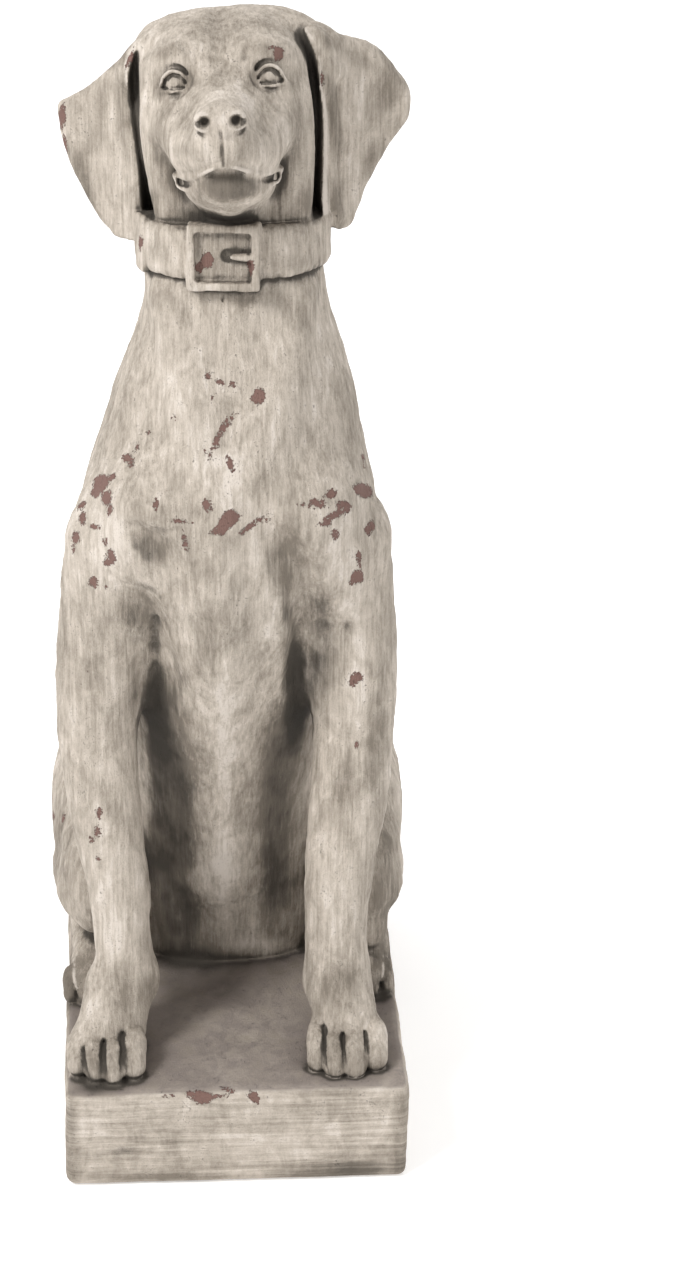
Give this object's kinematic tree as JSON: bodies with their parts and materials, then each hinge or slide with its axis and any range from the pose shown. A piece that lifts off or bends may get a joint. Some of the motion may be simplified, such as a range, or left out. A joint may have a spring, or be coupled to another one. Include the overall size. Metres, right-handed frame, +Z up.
{
  "type": "seated dog statue",
  "caption": "Seated hound statue with hanging ears and a buckled collar, cast in one piece with its rectangular plinth, for a garden or hall.",
  "frame": {"origin": "centre of the plinth's flat underside", "axes": "+Z up; the dog faces -Y; +X to the viewer's right when the dog is seen from the front"},
  "size_m": [0.2409, 0.33, 0.7425],
  "materials": {
    "aged_cast_stone": "matt warm grey over terracotta, stained and chipped"
  },
  "bodies": {
    "root": {"dog_statue": "aged_cast_stone"}
  },
  "joints": []
}
